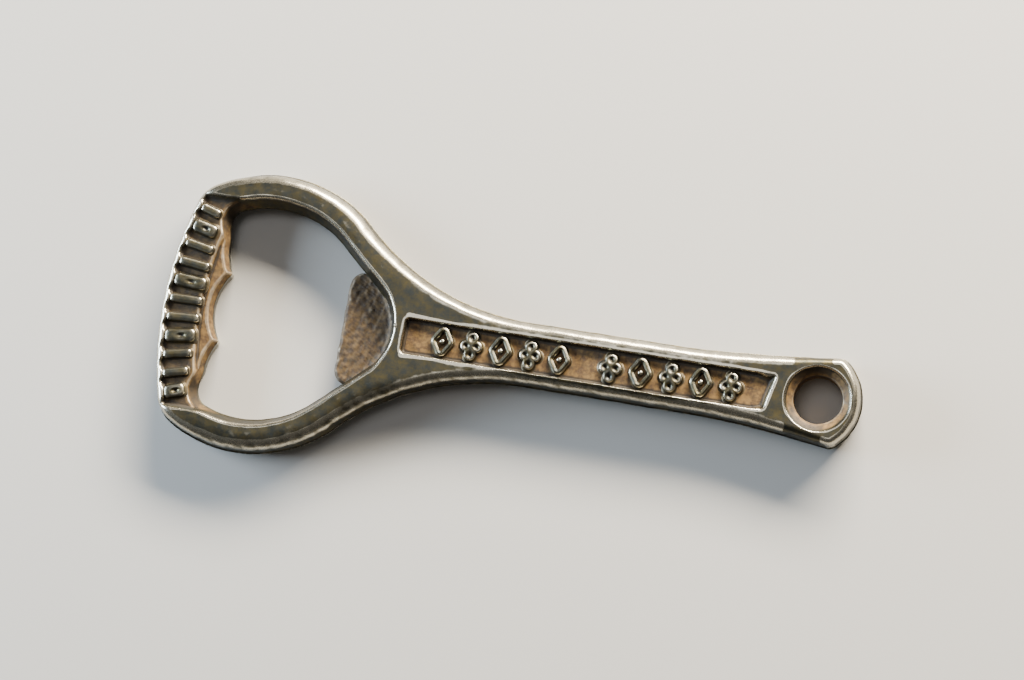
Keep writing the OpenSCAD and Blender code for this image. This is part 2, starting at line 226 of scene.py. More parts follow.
def crown(x, y):
    """The faces roll off towards the outer edge, more on the loop, and a little towards the window."""
    d = inside_edge(x, y)
    slender = smooth(*SLENDER_X, x)
    here = smooth(*ROLL_START_X, x) * (1 - smooth(EYE_JOINT_X - 5, EYE_JOINT_X, x))
    width = ROLL_W - ROLL_W_LESS * slender
    roll = (ROLL_DROP - ROLL_DROP_LESS * slender) * np.clip(1 - d / width, 0, 1) ** 2
    to_window = np.clip((d - WINDOW_ROLL_IN) / WINDOW_ROLL_W, 0, 1) * (
        1 - smooth(*WINDOW_ROLL_END_X, x)) * smooth(*WINDOW_ROLL_START_X, x)
    return roll * here + WINDOW_ROLL_DROP * to_window ** 2


RIB_N, RIB_W, WIDE_RIB_W, RIB_H, RIB_MARGIN = 11, 1.55, 2.35, 0.82, math.radians(2.4)
RIB_SPAN = 2 * math.asin(BAND_HALF_L / (BAR_R - BAND_RIM_W)) - 2 * RIB_MARGIN
RIB_WIDTHS = np.where(np.arange(RIB_N) % 3 == 1, WIDE_RIB_W, RIB_W)
RIB_TURNS = RIB_SPAN * (np.arange(RIB_N) / (RIB_N - 1) - 0.5)


def on_rib(x, y):
    """1 on a rib's line across the bar, falling to 0 between two ribs."""
    turn = -np.arctan2(y, BAR_CX - x)
    away = (turn[..., None] - RIB_TURNS) * (BAR_R - 3) / (RIB_WIDTHS / 2 + 0.1)
    return np.exp(-away ** 4).max(-1)


RIM_BITE, LEDGE_STEP, LEDGE_SLOPE, LEDGE_SLOPE_W, LEDGE_END_Y = 0.45, 0.8, 0.35, 3, (11.5, 16.0)


def bar_recess(x, y):
    """Depth of the ribbed band, which bites into the rim between ribs, and of the ledge to the window."""
    d = BAR_R - np.hypot(x - BAR_CX, y)
    near = 1 - smooth(LOOP_X - 4, LOOP_X, x)
    end = 1 - smooth(BAND_HALF_L - 0.7, BAND_HALF_L + 0.4, np.abs(y))
    rim = BAND_RIM_W - RIM_BITE * (1 - on_rib(x, y))
    band = BAND_DEPTH * smooth(rim - 0.35, rim + 0.3, d) * end
    inner = BAND_RIM_W + BAND_W
    step = LEDGE_STEP * smooth(inner - 0.5, inner + 0.1, d)
    slope = LEDGE_SLOPE * smooth(inner, inner + LEDGE_SLOPE_W, d)
    ledge = (step + slope) * (1 - smooth(*LEDGE_END_Y, np.abs(y)))
    return (band + ledge) * near


# A small bright nub on the window's narrow end: its place, its height and its spread
NUB, NUB_H, NUB_SPREAD = (-18.45, 1.0), 0.3, 0.1


def front_drop(x, y):
    """How far the front face lies below the casting's full height."""
    nub = NUB_H * np.exp(-((x - NUB[0]) ** 2 + (y - NUB[1]) ** 2) / NUB_SPREAD)
    return panel_recess(x, y) + crown(x, y) + bar_recess(x, y) - nub


def back_drop(x, y):
    """The same for the back face, which has a panel and no ribbed band."""
    return panel_recess(x, y) + crown(x, y)


# ---------------------------------------------------------------- edges of the regions
def shank_y(x, o):
    """Half width of the handle at x, with its wall set in by o."""
    neck = NECK_Y - np.sqrt((NECK_R + o) ** 2 - np.minimum(x - NECK_X, 0) ** 2)
    flare = FLARE_Y - np.sqrt((FLARE_R + o) ** 2 - np.maximum(x - FLARE_X, 0) ** 2)
    return np.where(x < (NECK_X + FLARE_X) / 2, neck, flare)


FACE_O = FRONT_SHOULDER[0][-1]
RIM_N, WALL_N, FLOOR_N = 7, 7, 16


def face_lines(y_face):
    """Lines across half the handle's face, from its middle out: panel floor, panel wall and rim."""
    foot = PANEL_HALF_W - PANEL_WALL - 0.1
    head = PANEL_HALF_W + 0.1
    y = np.asarray(y_face, float)[..., None]
    t = np.linspace(0, 1, RIM_N + 1)
    rim = head + (y - head) * t
    inner = np.concatenate([np.linspace(0, foot, FLOOR_N + 1), np.linspace(foot, head, WALL_N + 1)[1:]])
    inner = np.broadcast_to(inner, y.shape[:-1] + inner.shape)
    return np.concatenate([inner, rim[..., 1:]], -1)


HALF_LINES = FLOOR_N + WALL_N + RIM_N
JOINT_SHARE = face_lines(shank_y(NECK_JOINT_X, FACE_O)) / shank_y(NECK_JOINT_X, FACE_O)
EYE_SHARE = face_lines(shank_y(EYE_JOINT_X, FACE_O)) / shank_y(EYE_JOINT_X, FACE_O)
NECK_N, ARM_N, SIDE_N = 40, 90, 8
BAR_N, BAR_CORNER_N, BAR_ARM_N = 110, 24, 14


def throat_outer(o):
    y = shank_y(NECK_JOINT_X, o)
    seam = np.stack([np.full(HALF_LINES + 1, NECK_JOINT_X), y * JOINT_SHARE], -1)
    a = 1.5 * math.pi - math.asin((NECK_X - NECK_JOINT_X) / (NECK_R + o))
    return both_sides(join(
        seam,
        arc((NECK_X, NECK_Y), NECK_R + o, a, math.pi + NECK_A, NECK_N),
        arc((LOOP_X, 0), LOOP_R - o, NECK_A, ARM_A0, SIDE_N),
    ))


def throat_inner(g):
    nose = polar((NOSE_X, 0), NOSE_R - g, SIDE_A * JOINT_SHARE)
    side_end = polar((LOOP_X, 0), WINDOW_R - g, np.array([SIDE_A]))[0]
    return both_sides(join(
        nose,
        line(nose[-1], side_end, NECK_N),
        arc((LOOP_X, 0), WINDOW_R - g, SIDE_A, ARM_A0, SIDE_N),
    ))


def arm_outer(o):
    return arc((LOOP_X, 0), LOOP_R - o, ARM_A0, ARM_A1, ARM_N)


def arm_inner(g):
    return arc((LOOP_X, 0), WINDOW_R - g, ARM_A0, ARM_A1, ARM_N)


def bar_outer(o):
    return both_sides(join(
        arc((BAR_CX, 0), BAR_R - o, math.pi, CORNER_A1, BAR_N),
        arc(CORNER, BAR_CORNER_R - o, CORNER_A1, CORNER_A0, BAR_CORNER_N),
        arc((LOOP_X, 0), LOOP_R - o, CORNER_A0, ARM_A1, BAR_ARM_N),
    ))


TOOTH_Y, HOLLOW_Y, SCALLOP_R, SCALLOP_RUN = 5.9, 11.2, 9.5, 7.5
MIDDLE_PROUD, SIDE_BACK, CUSP_SHARPNESS = 0.15, 0.3, 9
# Where the bar's inner edge stops being straight, how far it is set back and how much steeper it is
STRAIGHT_END_Y, STRAIGHT_BACK, STRAIGHT_STEEPER = (11, 15), 0.6, 0.5
CUSP_PROUD, CUSP_W = 0.12, 1.1


def scallops(y):
    """Three hollow arcs along the bar's inner edge, which meet in a cusp at each tooth.

    The lower of two arcs is taken with a soft minimum, which leaves the cusp a little round.
    """
    y = np.abs(y)
    middle = -MIDDLE_PROUD + SCALLOP_R - np.sqrt(SCALLOP_R ** 2 - np.minimum(y, SCALLOP_RUN) ** 2)
    run = np.clip(HOLLOW_Y - y, 0, SCALLOP_RUN)
    side = SIDE_BACK * (1 - smooth(HOLLOW_Y, 14, y)) + SCALLOP_R - np.sqrt(SCALLOP_R ** 2 - run ** 2)
    return -np.log(np.exp(-CUSP_SHARPNESS * middle) + np.exp(-CUSP_SHARPNESS * side)) / CUSP_SHARPNESS


def cusp(y, w):
    """A hump at each tooth, w wide each way."""
    return np.exp(-((np.abs(y) - TOOTH_Y) / w) ** 2)


def bar_edge(y, g, proud):
    """Where the bar's inner edge lies: steeper than the window's other walls, and proud at the teeth."""
    straight = 1 - smooth(*STRAIGHT_END_Y, np.abs(y))
    return BAR_X + STRAIGHT_BACK * straight + g * (1 - STRAIGHT_STEEPER * straight) + scallops(y) + proud


def bar_inner(g):
    y = np.linspace(0, INNER_Y, BAR_N + 1)
    edge = np.stack([bar_edge(y, g, -CUSP_PROUD * cusp(y, CUSP_W)), y], -1)
    return both_sides(join(
        edge,
        arc((INNER_X, INNER_Y), WINDOW_CORNER_R - g, math.pi, INNER_A, BAR_CORNER_N),
        arc((LOOP_X, 0), WINDOW_R - g, INNER_A, ARM_A1, BAR_ARM_N),
    ))


# ---------------------------------------------------------------- skins
def raise_levels(chains, heights, drop, up):
    """Rows of points up or down a wall: a height share of 1 lies on the face, below its own recess."""
    z = PARTING + up * heights[:, None] * (PARTING - drop(chains[..., 0], chains[..., 1]))
    return np.concatenate([chains, z[..., None]], -1)


def half_skin(outer, inner, outer_levels, inner_levels, across, drop, up):
    """Rows over one half of a strip: up its outer wall, across its face and down its inner wall.

    A face row lies a share of the way from the outer edge to the inner one, at the face's height less drop.
    """
    out = np.stack([outer(o) for o in outer_levels[0]])
    inn = np.stack([inner(g) for g in inner_levels[0]])
    out_rows = raise_levels(out, outer_levels[1], drop, up)
    in_rows = raise_levels(inn, inner_levels[1], drop, up)
    a, b = out[-1], inn[0]
    share = across(a, b)
    face = a[None] + (b - a)[None] * share[:, :, None]
    z = PARTING + up * (PARTING - drop(face[..., 0], face[..., 1]))
    return np.concatenate([out_rows, np.concatenate([face, z[..., None]], -1), in_rows])


def closed_section(front, back):
    """A skin's rows as one loop round the section: over the front and back under the back."""
    return np.concatenate([front, back[::-1]])


EVEN = np.linspace(0, 1, 58)[1:-1]


def evenly(a, b):
    return np.broadcast_to(EVEN[:, None], (len(EVEN), len(a)))


def loop_section(outer, inner):
    return closed_section(
        half_skin(outer, inner, FRONT_SHOULDER, FRONT_WINDOW, evenly, front_drop, 1),
        half_skin(outer, inner, BACK_SHOULDER, BACK_WINDOW, evenly, back_drop, -1),
    )


def shank_stations():
    """Stations along the handle, close together where the panel ends."""
    stops = [(NECK_JOINT_X, 3), (PANEL_X0 - 0.4, 12), (PANEL_X0 + 1, 30), (PANEL_X0 + 9, 150),
             (PANEL_X1 - 7, 40), (PANEL_X1 - 2, 34), (EYE_JOINT_X, 0)]
    parts = [np.linspace(stops[i][0], stops[i + 1][0], stops[i][1] + 1)[:-1] for i in range(len(stops) - 1)]
    return np.concatenate(parts + [[EYE_JOINT_X]])


SHANK_X = shank_stations()


def shank_section():
    def upper(o):
        return np.stack([SHANK_X, shank_y(SHANK_X, o)], -1)

    def lower(o):
        return upper(o) * [1, -1]

    def lines(a, b):
        edge = a[:, 1, None]
        y = face_lines(a[:, 1])
        y = np.concatenate([y[:, ::-1], -y[:, 1:]], 1)[:, 1:-1]
        ramp = smooth(NECK_JOINT_X, PANEL_X0, SHANK_X) * (1 - smooth(PANEL_X1, EYE_JOINT_X, SHANK_X))
        y = y + PANEL_Y * ramp[:, None] * np.clip((edge - np.abs(y)) / (edge - PANEL_HALF_W - 0.1), 0, 1)
        return ((a[:, 1, None] - y) / (a[:, 1] - b[:, 1])[:, None]).T

    def flip(levels):
        return levels[0][::-1], levels[1][::-1]

    return closed_section(
        half_skin(upper, lower, FRONT_SHOULDER, flip(FRONT_SHOULDER), lines, front_drop, 1),
        half_skin(upper, lower, BACK_SHOULDER, flip(BACK_SHOULDER), lines, back_drop, -1),
    )


EYE_SIDE_N, EYE_CORNER_N, EYE_END_N = 44, 16, 44
# The end's edges are a little less round, which leaves a rim between them and the countersink
EYE_EDGE_SHARE = 0.7


def eye_outer(o):
    """Once round the eye's region: up the seam, along the flare, round the end and back."""
    y = shank_y(EYE_JOINT_X, o)
    seam = np.stack([np.full(HALF_LINES + 1, EYE_JOINT_X), y * EYE_SHARE], -1)
    o = EYE_EDGE_SHARE * o
    corner = arc(END_CORNER, END_CORNER_R - o, math.pi / 2 + FLARE_A, END_CORNER_A, EYE_CORNER_N)
    half = join(seam, line(seam[-1], corner[0], EYE_SIDE_N), corner,
                arc((END_X, 0), END_R - o, END_CORNER_A, 0, EYE_END_N))
    return np.concatenate([half, half[-2:0:-1] * [1, -1]])


def hole_levels(front):
    """(radius, height share) down the countersink's round lip, its slope and half the bore."""
    half = PARTING
    a = np.linspace(0, math.pi / 2, 6)
    lip = 0.2
    slope = np.linspace(0, 1, 7)[1:]
    low = lip * 0.6
    radius = np.concatenate([
        SINK_R + lip * (1 - np.sin(a)),
        SINK_R - (SINK_R - EYE_R) * slope,
        [EYE_R - 0.02, EYE_R - 0.03, EYE_R - (0.03 if front else 0.06)],
    ])
    height = np.concatenate([
        half - low * (1 - np.cos(a)),
        half - low - (SINK_DEPTH - low) * slope ** 0.8,
        np.array([0.66, 0.33, 0.0]) * (half - SINK_DEPTH),
    ]) / half
    return radius, height


def eye_section():
    ref = eye_outer(FACE_O)
    a = np.unwrap(np.arctan2(ref[:, 1], ref[:, 0] - EYE_X))

    def hole(r):
        return polar((EYE_X, 0), r, a)

    share = np.linspace(0, 1, 30)[1:-1]

    def fan(p, q):
        return np.broadcast_to(share[:, None], (len(share), len(p)))

    def plain(x, y):
        return 0.0 * x

    return closed_section(
        half_skin(eye_outer, hole, FRONT_SHOULDER, hole_levels(True), fan, plain, 1),
        half_skin(eye_outer, hole, BACK_SHOULDER, hole_levels(False), fan, plain, -1),
    )


# ---------------------------------------------------------------- slight unevenness of a sand casting
def wave_set(seed, count, shortest, longest):
    """Wave vectors, phases and relative heights of sine waves, the same each time for one seed."""
    rng = np.random.default_rng(seed)
    direction = rng.normal(size=(count, 3))
    direction /= np.linalg.norm(direction, axis=1)[:, None]
    length = shortest * (longest / shortest) ** rng.random(count)
    wave = direction * (2 * math.pi / length)[:, None]
    phase = rng.random((3, count)) * 2 * math.pi
    return wave, phase, length / longest


def uneven(points, seed, shortest, longest, height, count=14):
    """Points moved by a sum of sine waves in random directions; long waves are the highest."""
    k, phase, size = wave_set(seed, count, shortest, longest)
    angle = points.reshape(-1, 3) @ k.T
    move = np.stack([(np.sin(angle + p) * size).sum(1) for p in phase], -1)
    return points + (height * move / math.sqrt(count)).reshape(points.shape)


# Seed, then the shortest wave, the longest wave and the height in millimetres
LONG_WAVES, SHORT_WAVES, LIP_WAVES = (3, 9, 40, 0.10), (5, 1.6, 5, 0.035), (11, 0.5, 2.2, 0.08)


def cast_surface(points):
    """The whole casting's unevenness: it is a little out of true, with a fine ripple."""
    return uneven(uneven(points, *LONG_WAVES), *SHORT_WAVES)


# ---------------------------------------------------------------- meshes
def ring_faces(rows, n, wrap_rows, wrap_points):
    """Quads between neighbouring rows of points; a row, and the run of rows, may close on itself."""
    i, j = np.meshgrid(np.arange(rows if wrap_rows else rows - 1),
                       np.arange(n if wrap_points else n - 1), indexing="ij")
    i2, j2 = (i + 1) % rows, (j + 1) % n
    return np.stack([i * n + j, i * n + j2, i2 * n + j2, i2 * n + j], -1).reshape(-1, 4)


def cap_faces(rows, n):
    """Quads that close both ends of an open strip, each from a front row to the back row below it."""
    i = np.arange(rows // 2 - 1)
    quad = np.stack([i, i + 1, rows - 2 - i, rows - 1 - i], -1) * n
    return np.concatenate([quad, quad[:, ::-1] + (n - 1)])


def outward(points, faces):
    """Faces turned over if they enclose a negative volume."""
    p = points[faces]
    volume = np.einsum("ij,ij->i", p[:, 0], np.cross(p[:, 1], p[:, 2]) + np.cross(p[:, 2], p[:, 3])).sum()
    return faces if volume > 0 else faces[:, ::-1]


class Skin:
    """One piece's grid: its points, its faces, which of them are hidden in a joint, and its recess depth."""

    def __init__(self, name, section, wrap_rows=True, wrap_points=False, seam_x=None, depth=None):
        rows, n = section.shape[:2]
        flat = section.reshape(-1, 3)
        faces = ring_faces(rows, n, wrap_rows, wrap_points)
        hidden = np.zeros(len(faces), bool)
        if seam_x is not None:
            hidden = (np.abs(flat[faces][..., 0] - seam_x) < 1e-6).all(1)
        if not wrap_points:
            caps = cap_faces(rows, n)
            faces = np.concatenate([faces, caps])
            hidden = np.concatenate([hidden, np.ones(len(caps), bool)])
        if depth is None:
            front = np.where(flat[:, 2] > PARTING, bar_recess(flat[:, 0], flat[:, 1]), 0)
            depth = front + panel_recess(flat[:, 0], flat[:, 1])
        self.name = name
        self.depth = depth
        self.points = cast_surface(flat)
        self.faces = outward(self.points, faces)
        self.hidden = hidden


def sum_at(index, values, size):
    return np.stack([np.bincount(index, values[:, k], size) for k in range(values.shape[1])], -1)


# Smoothing of the bend: how often, over what distance in millimetres, and how much a point keeps its own
BEND_PASSES, BEND_REACH, BEND_HOLD = 8, 0.16, 1.5
LEAST_EDGE, MOST_BEND = 0.04, 8


def shade(skins):
    """Normals and bend for skins that meet, so that no seam shows between them.

    Points at one place count as one. A point's normal is the sum of its shell faces' area vectors. Its bend
    is the mean curvature towards its neighbours, positive on a ridge, smoothed a few times over them.
    """
    points = np.concatenate([s.points for s in skins])
    _, index = np.unique(np.round(points * 2000).astype(np.int64), axis=0, return_inverse=True)
    index = index.reshape(-1)
    size = index.max() + 1
    place = np.zeros((size, 3))
    place[index] = points
    offset = np.cumsum([0] + [len(s.points) for s in skins])
    faces = np.concatenate([index[s.faces[~s.hidden] + k] for s, k in zip(skins, offset)])
    p = place[faces]
    area = np.cross(p[:, 2] - p[:, 0], p[:, 3] - p[:, 1])
    normal = sum_at(faces.reshape(-1), np.repeat(area, 4, 0), size)
    normal /= np.linalg.norm(normal, axis=1)[:, None] + 1e-12
    a, b = faces.reshape(-1), np.roll(faces, -1, 1).reshape(-1)
    start, end = np.concatenate([a, b]), np.concatenate([b, a])
    start, end = start[start != end], end[start != end]
    step = place[end] - place[start]
    length = np.maximum(np.linalg.norm(step, axis=1), LEAST_EDGE)
    turn = np.clip(-2 * np.einsum("ij,ij->i", step, normal[start]) / length ** 2, -MOST_BEND, MOST_BEND)
    total = np.bincount(start, minlength=size) + 1e-12
    bend = np.bincount(start, turn, size) / total
    near = np.exp(-(length / BEND_REACH) ** 2) + 1e-4
    total = np.bincount(start, near, size) + BEND_HOLD
    for _ in range(BEND_PASSES):
        bend = (BEND_HOLD * bend + np.bincount(start, near * bend[end], size)) / total
    return normal[index], bend[index]



def make_piece(skin, normals, bend, nodes, material):
    """A mesh object in metres, with its attributes, its split normals, its body and its finish."""
    mesh = bpy.data.meshes.new(skin.name)
    mesh.vertices.add(len(skin.points))
    mesh.vertices.foreach_set("co", (skin.points * MM).reshape(-1))
    mesh.loops.add(skin.faces.size)
    mesh.loops.foreach_set("vertex_index", skin.faces.reshape(-1).astype(np.int32))
    mesh.polygons.add(len(skin.faces))
    mesh.polygons.foreach_set("loop_start", np.arange(0, skin.faces.size, 4, dtype=np.int32))
    mesh.update(calc_edges=True)
    mesh.polygons.foreach_set("use_smooth", ~skin.hidden)
    for name, values in (("bend", bend), ("depth", skin.depth)):
        mesh.attributes.new(name, "FLOAT", "POINT").data.foreach_set("value", values.astype(np.float32))
    if normals is not None:
        flat = np.zeros(len(skin.faces) * 3)
        mesh.polygons.foreach_get("normal", flat)
        corner = np.where(skin.hidden[:, None, None], flat.reshape(-1, 1, 3), normals[skin.faces])
        mesh.normals_split_custom_set(corner.reshape(-1, 3).tolist())
    obj = bpy.data.objects.new(skin.name, mesh)
    bpy.context.scene.collection.objects.link(obj)
    mesh.materials.append(material)
    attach(obj, "root")
    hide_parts(*nodes)
    return obj


def merge_doubles(obj):
    """Welds points that lie on each other, at a dome's middle and where a grid closes."""
    bm = bmesh.new()
    bm.from_mesh(obj.data)
    bmesh.ops.remove_doubles(bm, verts=bm.verts, dist=1e-7)
    bmesh.ops.dissolve_degenerate(bm, edges=bm.edges, dist=1e-8)
    bm.to_mesh(obj.data)
    bm.free()


# ---------------------------------------------------------------- raised ornament
MOTIF_W, MOTIF_H, STROKE, RELIEF = 3.9, 5.0, 0.92, 0.82
PETAL_R = 1.08
GROUP_N, MOTIF_PITCH, GROUP_GAP = 5, 5.0, 8.7
MOTIF_END = 0.95
PANEL_FLOOR = THICK - PANEL_DEPTH


def stroke_profile(half_w, height, foot):
    """Offsets from a stroke's middle and heights: a round top, steep sides and a flared foot."""
    a = np.linspace(0, math.pi / 2, 9)
    side = half_w - 0.5 * half_w * (1 - np.sin(a))
    top_x = np.concatenate([[0, 0.3 * half_w], side * np.sin(a) ** 0.5])
    top_x = np.maximum.accumulate(top_x)
    top_z = height * np.concatenate([[1.0, 0.985], 0.42 + 0.55 * np.cos(a) ** 0.9])
    foot_x = half_w + foot * np.array([0.15, 0.45, 1.0, 1.25])
    foot_z = height * np.array([0.22, 0.08, 0.0, -0.22])
    return np.concatenate([top_x, foot_x]), np.concatenate([top_z, foot_z])


def sweep(path, normal, half_w, height, foot_out, foot_in):
    """A closed stroke: the profile carried along a closed path, on both sides of it."""
    xo, zo = stroke_profile(half_w, height, foot_out)
    xi, zi = stroke_profile(half_w, height, foot_in)
    across = np.concatenate([-xi[:0:-1], xo])
    up = np.concatenate([zi[:0:-1], zo])
    flat = path[None] + across[:, None, None] * normal[None]
    z = np.broadcast_to(up[:, None, None], flat.shape[:2] + (1,))
    return np.concatenate([flat, z], -1)


def rounded_diamond(a, b, r, n):
    """A diamond with round corners: straight sides of an inner diamond pushed out by r, and its normals."""
    corners = np.array([[a - r, 0], [0, b - r], [-(a - r), 0], [0, -(b - r)]])
    points, normals = [], []
    for i, c in enumerate(corners):
        before, after = corners[i - 1], corners[(i + 1) % 4]
        a0 = math.atan2(*((c - before)[::-1])) - math.pi / 2
        a1 = math.atan2(*((after - c)[::-1])) - math.pi / 2
        a1 += 2 * math.pi if a1 < a0 else 0
        t = np.linspace(a0, a1, n)
        ray = np.stack([np.cos(t), np.sin(t)], -1)
        side = np.linspace(0, 1, n + 2)[1:-1, None]
        points += [c + r * ray, (c + r * ray[-1]) * (1 - side) + (after + r * ray[-1]) * side]
        normals += [ray, np.repeat(ray[-1:], n, 0)]
    return np.concatenate(points), np.concatenate(normals)


def dome(centre, radius, height, dimple, angles=48):
    """A round-topped boss over a radius that may change with the angle, with a flared foot.

    Rows go out from the middle; the last two run below the floor and back to the middle, which closes it.
    The dimple is a hollow of given depth, width and distances from the middle, one for each direction.
    """
    t = np.arange(angles) * 2 * math.pi / angles
    r = radius(t) if callable(radius) else np.full(angles, radius)
    share = np.concatenate([np.linspace(0, 0.8, 9), [0.87, 0.93, 0.97, 1.0, 1.04, 1.1, 1.18, 1.2, 0.0]])
    z = height * np.concatenate([
        1 - 0.14 * np.linspace(0, 1, 9) ** 3, [0.78, 0.64, 0.45, 0.25, 0.1, 0.02, 0.0, -0.25, -0.25]])
    ray = np.stack([np.cos(t), np.sin(t)], -1)
    flat = share[:, None, None] * (r[:, None] * ray)[None]
    z = np.repeat(z[:, None], angles, 1)
    for where, width, depth in dimple:
        away = ((flat - np.asarray(where)) ** 2).sum(-1)
        z = z - np.where(z > 0, depth, 0) * np.exp(-away / width ** 2)
    return np.concatenate([flat + np.asarray(centre), z[..., None]], -1)


def petal_radius(t):
    """How far out four round petals reach at each angle: the farthest point of four circles."""
    reach = np.zeros_like(t)
    for k in range(4):
        off = (MOTIF_W if k % 2 == 0 else MOTIF_H) / 2 - PETAL_R
        turn = t - k * math.pi / 2
        inside = PETAL_R ** 2 - (off * np.sin(turn)) ** 2
        ray = off * np.cos(turn) + np.sqrt(np.maximum(inside, 0))
        reach = np.maximum(reach, np.where((inside > 0) & (np.cos(turn) > 0), ray, 0))
    return reach


def motif_places():
    """Where the motifs stand along the handle: two groups, mirrored about a wider gap."""
    middle = (PANEL_X0 + EYE_JOINT_X - MOTIF_END) / 2
    step = np.arange(GROUP_N) * MOTIF_PITCH
    return middle + np.concatenate([-GROUP_GAP / 2 - step[::-1], GROUP_GAP / 2 + step])


def on_panel(section, x):
    """A motif set down on the panel's floor at x."""
    return section + [x, PANEL_Y, PANEL_FLOOR]


def lozenge_sections(x):
    path, normal = rounded_diamond((MOTIF_W - STROKE) / 2, (MOTIF_H - STROKE) / 2, 0.62, 12)
    ring = sweep(path, normal, STROKE / 2, RELIEF, 0.22, 0.12)
    bead = dome((0, 0), 0.42, RELIEF * 0.9, [], 32)
    return on_panel(ring, x), on_panel(bead, x)


def rosette_section(x):
    dx, dy = MOTIF_W / 2 - PETAL_R, MOTIF_H / 2 - PETAL_R
    holes = [((dx, 0), 0.36, 0.5), ((-dx, 0), 0.36, 0.5), ((0, dy), 0.4, 0.55), ((0, -dy), 0.4, 0.55)]
    return on_panel(dome((0, 0), petal_radius, RELIEF, holes, 120), x)


RIB_REACH, RIB_EDGE_GAP, RIB_DIMPLE = 2.95, 0.35, 0.45


def rib_section(i):
    """A rib: a boss drawn out from the rim to the ledge or the window's edge; wide ribs are dimpled."""
    mid_r = BAR_R - BAND_RIM_W - BAND_W / 2
    turn = math.pi + RIB_TURNS[i]
    w = RIB_WIDTHS[i]
    wide = w > RIB_W
    stop = mid_r + RIB_REACH
    start = max(mid_r - RIB_REACH, (BAR_CX - BAR_X) / math.cos(RIB_TURNS[i]) + RIB_EDGE_GAP)
    mid_r, half_l = (start + stop) / 2, (stop - start) / 2
    n = 64
    t = np.arange(n) * 2 * math.pi / n
    ray = np.stack([np.cos(t), np.sin(t)], -1)
    square = ray / (np.abs(ray) ** 3).sum(-1, keepdims=True) ** (1 / 3)
    spine = np.stack([(half_l - w / 2) * np.clip(3 * np.cos(t), -1, 1), 0 * t], -1)
    share = np.concatenate([
        np.linspace(0, 0.7, 8), [0.8, 0.88, 0.94, 0.98, 1.02, 1.08, 1.17, 1.28, 1.34, 0.0]])
    z = RIB_H * np.concatenate([
        1 - 0.16 * np.linspace(0, 1, 8) ** 2, [0.76, 0.64, 0.5, 0.34, 0.2, 0.09, 0.02, 0.0, -0.3, -0.3]])
    flat = spine[None] + share[:, None, None] * (w / 2 * square)[None]
    z = np.repeat(z[:, None], n, 1)
    if wide:
        away = (flat[..., 0] + 0.3) ** 2 / 0.3 + flat[..., 1] ** 2 / 0.1
        z = z - np.where(z > 0, RIB_DIMPLE, 0) * np.exp(-away)
    c, s = math.cos(turn), math.sin(turn)
    x = BAR_CX + c * (flat[..., 0] + mid_r) - s * flat[..., 1]
    y = s * (flat[..., 0] + mid_r) + c * flat[..., 1]
    return np.stack([x, y, THICK - BAND_DEPTH + z], -1)


# ---------------------------------------------------------------- teeth and lip
TOOTH_HALF_W, TOOTH_ROOT, TOOTH_SINK, TOOTH_SINK_W = 2.2, 0.6, 0.06, 1.2
TIP_PROUD, TIP_W, TIP_SUNK = 0.06, 0.9, 0.09


def tooth_section(side):
    """A tooth's tip: a short length of the crossbar's section at one cusp, proud of it only at the tip."""
    y = np.linspace(TOOTH_Y - TOOTH_HALF_W, TOOTH_Y + TOOTH_HALF_W, 61)

    def tip(g):
        return np.stack([bar_edge(y, g, TIP_PROUD * cusp(y, TIP_W) - TIP_SUNK), side * y], -1)

    def root(o):
        return np.stack([np.full(len(y), BAR_X - TOOTH_ROOT), side * y], -1)

    def across(a, b):
        return np.broadcast_to(np.linspace(0, 1, 22)[1:-1, None], (20, len(a)))

    def drop(x, y):
        sunk = TOOTH_SINK * (1 - cusp(y, TOOTH_SINK_W) * smooth(BAR_X + 0.2, BAR_X + 1.6, x))
        return front_drop(x, y) + sunk

    def back(x, y):
        return TOOTH_SINK + 0 * x

    plain = (np.array([0.0, 0.0]), np.array([0.0, 1.0]))
    return closed_section(
        half_skin(root, tip, plain, FRONT_WINDOW, across, drop, 1),
        half_skin(root, tip, plain, BACK_WINDOW, across, back, -1),
    )


LIP_HALF_W, LIP_ROOT_HALF_W, LIP_BURY = 7.3, 9.6, 0.5
LIP_N = 240
LIP_TOP_R, LIP_LOW_R, LIP_TURN = 0.8, 0.45, 0.93
# The edge's slight ripple: its height, its radians per millimetre, and where it is strongest
RIPPLE_H, RIPPLE_RATE, RIPPLE_Y, RIPPLE_SPREAD = 0.07, 1.9, 4, 3
# The top's rise where it runs into the throat: its height and its reach
LIP_RISE, LIP_RISE_REACH = 0.4, 0.35


def respaced(chain, n):
    """The same chain with n + 1 points at even distances along it."""
    run = np.concatenate([[0], np.cumsum(np.linalg.norm(np.diff(chain, axis=0), axis=1))])
    t = np.linspace(0, run[-1], n + 1)
    return np.stack([np.interp(t, run, chain[:, k]) for k in (0, 1)], -1)


def lip_wall(r):
    """The throat's wall as a chain: the nose's arc and the straight sides, as far as the lip's root."""
    tangent = polar((NOSE_X, 0), r, np.array([SIDE_A]))[0]
    run = (LIP_ROOT_HALF_W - tangent[1]) / math.cos(SIDE_A)
    end = tangent + run * np.array([-math.sin(SIDE_A), math.cos(SIDE_A)])
    half = join(arc((NOSE_X, 0), r, 0, SIDE_A, 60), line(tangent, end, 20))
    return respaced(both_sides(half), LIP_N)


